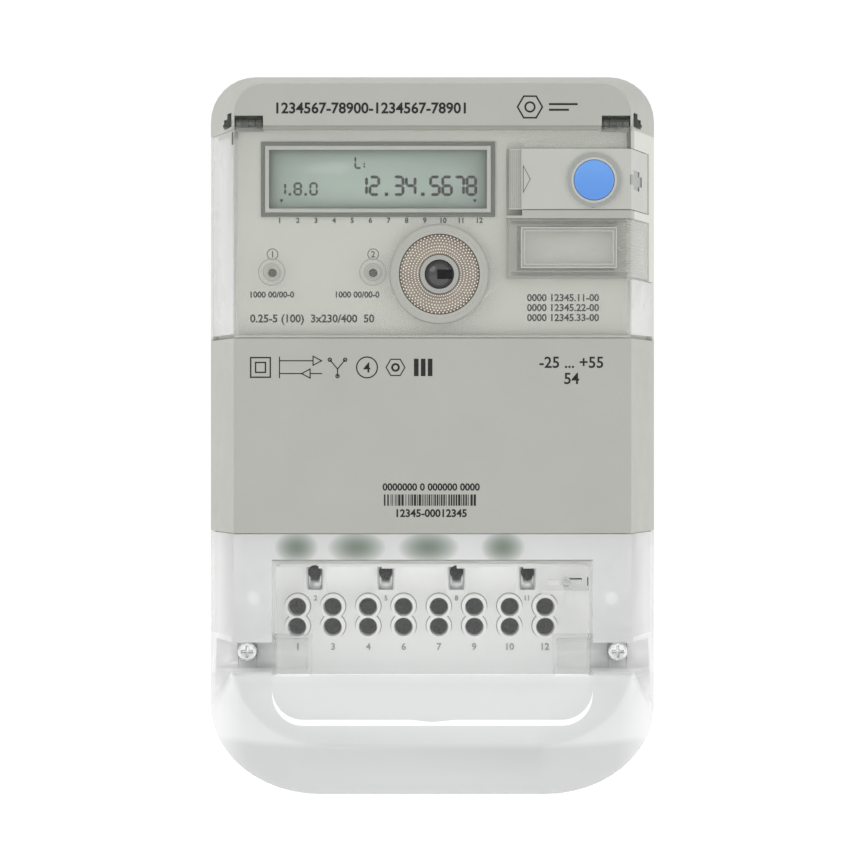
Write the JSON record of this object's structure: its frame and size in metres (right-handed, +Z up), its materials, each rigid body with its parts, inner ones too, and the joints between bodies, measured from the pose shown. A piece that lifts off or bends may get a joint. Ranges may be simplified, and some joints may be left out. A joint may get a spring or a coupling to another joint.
{
  "type": "smart electric meter",
  "caption": "Wall-hung three-phase electricity meter with display, push button, optical port, hinged clear window, sliding doors and a lift-off clear terminal cover.",
  "frame": {"origin": "middle of the wall face, halfway up the meter", "axes": "+X to the right across the meter, +Z up, +Y into the wall; the front looks towards -Y"},
  "size_m": [0.178, 0.0794, 0.288],
  "materials": {
    "case_grey": "fine spark-eroded texture",
    "tub_white": "satin moulded",
    "terminal_white": "satin moulded",
    "clear_window": "clear polycarbonate",
    "clear_cover": "clear polycarbonate with frosted areas",
    "door_grey": "satin moulded",
    "door_clear": "lightly frosted clear plastic",
    "card_pale": "printed card",
    "button_blue": "glossy",
    "inner_white": "moulded",
    "bezel_grey": "satin",
    "display_glass": "reflective liquid-crystal cell",
    "light_guide": "opal",
    "board_green": "solder resist",
    "steel": "zinc plated",
    "ring_steel": "perforated, satin",
    "screw_bright": "nickel plated",
    "screw_dark": "blackened",
    "brass": "bright",
    "copper": "copper bar",
    "rubber_black": "soft",
    "lamp_red": "clear red",
    "ir_dark": "infrared filter",
    "part_black": "moulded",
    "cell_green": "printed sleeve",
    "cell_white": "printed sleeve",
    "transformer_tape": "yellow tape and ferrite",
    "sleeve_blue": "shrink sleeve",
    "shield_can": "tinned"
  },
  "bodies": {
    "case": {"base_housing": "tub_white", "hanger_bracket": "steel", "case_gasket": "rubber_black", "case_screws": "steel", "front_cover": "case_grey", "hinge_pins": "steel", "lcd_bezel": "bezel_grey", "lcd_glass": "display_glass", "lcd_backlight": "light_guide", "display_board": "board_green", "display_screws": "steel", "pulse_leds": "lamp_red", "light_pipes": "lamp_red", "optical_ring": "ring_steel", "optical_lens": "ir_dark", "optical_holder": "inner_white", "ir_diodes": "part_black", "switch_cap": "rubber_black", "tact_switch": "part_black", "battery_cell": "cell_green", "battery_contacts": "brass", "main_board": "board_green", "board_screws": "steel", "power_transformer": "transformer_tape", "filter_capacitors": "sleeve_blue", "varistors": "sleeve_blue", "super_capacitor": "part_black", "backup_battery": "cell_white", "radio_module": "shield_can", "radio_antenna": "copper", "board_connector": "part_black", "relay_block": "part_black", "current_transformers": "sleeve_blue", "busbar_l1": "copper", "busbar_l2": "copper", "busbar_l3": "copper", "neutral_link": "copper", "terminal_block": "terminal_white", "terminal_cages": "brass", "clamp_screws": "screw_dark", "link_screws": "screw_dark", "link_plates": "brass", "threaded_inserts": "brass", "plunger_spring": "steel", "tamper_switch": "part_black"},
    "window": {"window_cover": "clear_window"},
    "button_slider": {"button_door": "door_grey", "button_retainer": "inner_white", "button_spring": "steel"},
    "button": {"push_button": "button_blue"},
    "battery_slider": {"battery_door": "door_clear", "door_card": "card_pale"},
    "terminal_lid": {"terminal_cover": "clear_cover", "screw_washers": "rubber_black"},
    "screw_left": {"sealing_screw_left": "screw_bright"},
    "screw_right": {"sealing_screw_right": "screw_bright"},
    "plunger": {"tamper_plunger": "inner_white"}
  },
  "joints": [
    {"name": "window_hinge", "type": "hinge", "parent": "case", "child": "window", "pos_m": [0, -0.0755, 0.1223], "axis": [-1, 0, 0], "range_deg": [0, 95]},
    {"name": "button_door_slide", "type": "slide", "parent": "case", "child": "button_slider", "axis": [1, 0, 0], "range_m": [0, 0.06]},
    {"name": "button_press", "type": "slide", "parent": "button_slider", "child": "button", "axis": [0, 1, 0], "range_m": [0, 0.0015], "stiffness_N_per_m": 500, "deforming": ["button_spring"]},
    {"name": "battery_door_slide", "type": "slide", "parent": "case", "child": "battery_slider", "axis": [1, 0, 0], "range_m": [0, 0.06]},
    {"name": "terminal_cover_lift", "type": "slide", "parent": "case", "child": "terminal_lid", "axis": [0, -1, 0], "range_m": [0, 0.08]},
    {"name": "screw_left_turn", "type": "hinge", "parent": "terminal_lid", "child": "screw_left", "pos_m": [-0.0736, -0.055, -0.0857], "axis": [0, 1, 0], "continuous": true},
    {"name": "screw_right_turn", "type": "hinge", "parent": "terminal_lid", "child": "screw_right", "pos_m": [0.0736, -0.055, -0.0857], "axis": [0, 1, 0], "continuous": true},
    {"name": "tamper_press", "type": "slide", "parent": "case", "child": "plunger", "axis": [0, 1, 0], "range_m": [0, 0.0025], "stiffness_N_per_m": 300, "deforming": ["plunger_spring"]}
  ]
}
